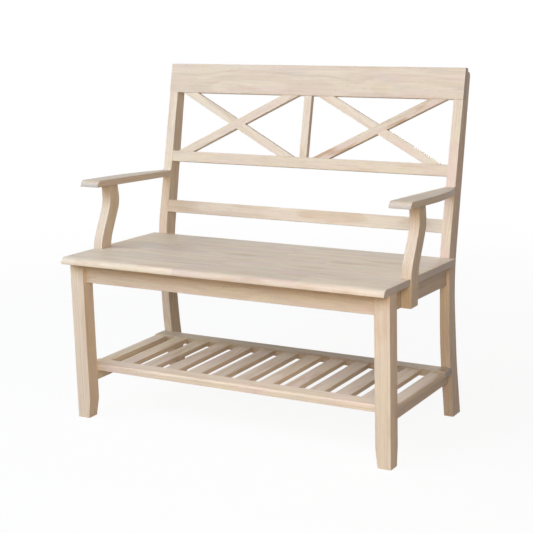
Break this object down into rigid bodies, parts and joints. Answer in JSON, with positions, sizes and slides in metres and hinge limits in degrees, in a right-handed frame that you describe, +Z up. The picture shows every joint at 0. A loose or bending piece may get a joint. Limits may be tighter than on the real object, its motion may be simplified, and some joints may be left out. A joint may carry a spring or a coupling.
{
  "type": "bench",
  "caption": "Unfinished wooden bench with arms, a back of X-shaped braces, a sloping plank seat and a slatted shelf below.",
  "frame": {"origin": "centre of the overall box, on the floor under the bench", "axes": "+X along the bench to the right as seen from the front, +Y from the front to the back, +Z up"},
  "size_m": [0.981, 0.5804, 0.9308],
  "materials": {
    "frame_wood": "bare sanded rubberwood, matt, with fine straight grain along the piece",
    "back_wood": "bare sanded rubberwood, matt, with fine straight grain along the piece",
    "seat_wood": "bare sanded rubberwood boards glued edge to edge, matt, each board a little different in tone",
    "arm_wood": "bare sanded rubberwood, matt, with fine straight grain along the piece",
    "shelf_wood": "bare sanded rubberwood, matt, with fine straight grain along the piece",
    "dowel_wood": "plain turned dowel",
    "screw_steel": "zinc plated"
  },
  "bodies": {
    "root": {"arm_dowels": "dowel_wood", "arm_left": "arm_wood", "arm_right": "arm_wood", "arm_support_left": "arm_wood", "arm_support_right": "arm_wood", "back_dowels": "dowel_wood", "centre_stile": "back_wood", "corner_block_front_left": "frame_wood", "corner_block_front_right": "frame_wood", "corner_block_rear_left": "frame_wood", "corner_block_rear_right": "frame_wood", "corner_block_screws": "screw_steel", "crest_dowels": "dowel_wood", "crest_rail": "back_wood", "front_apron": "frame_wood", "front_leg_left": "frame_wood", "front_leg_right": "frame_wood", "left_panel_falling_brace": "back_wood", "left_panel_rising_brace": "back_wood", "lower_back_slat": "back_wood", "mid_rail": "back_wood", "rear_apron": "frame_wood", "rear_post_left": "frame_wood", "rear_post_right": "frame_wood", "right_panel_falling_brace": "back_wood", "right_panel_rising_brace": "back_wood", "seat_board_1": "seat_wood", "seat_board_2": "seat_wood", "seat_board_3": "seat_wood", "seat_board_4": "seat_wood", "seat_board_5": "seat_wood", "seat_board_6": "seat_wood", "seat_screws": "screw_steel", "shelf_end_board_left": "shelf_wood", "shelf_end_board_right": "shelf_wood", "shelf_front_rail": "shelf_wood", "shelf_rear_rail": "shelf_wood", "shelf_screws": "screw_steel", "shelf_slat_01": "shelf_wood", "shelf_slat_02": "shelf_wood", "shelf_slat_03": "shelf_wood", "shelf_slat_04": "shelf_wood", "shelf_slat_05": "shelf_wood", "shelf_slat_06": "shelf_wood", "shelf_slat_07": "shelf_wood", "shelf_slat_08": "shelf_wood", "shelf_slat_09": "shelf_wood", "shelf_slat_10": "shelf_wood", "shelf_slat_11": "shelf_wood", "side_apron_left": "frame_wood", "side_apron_right": "frame_wood", "side_stretcher_left": "frame_wood", "side_stretcher_right": "frame_wood", "support_screws": "screw_steel"}
  },
  "joints": []
}
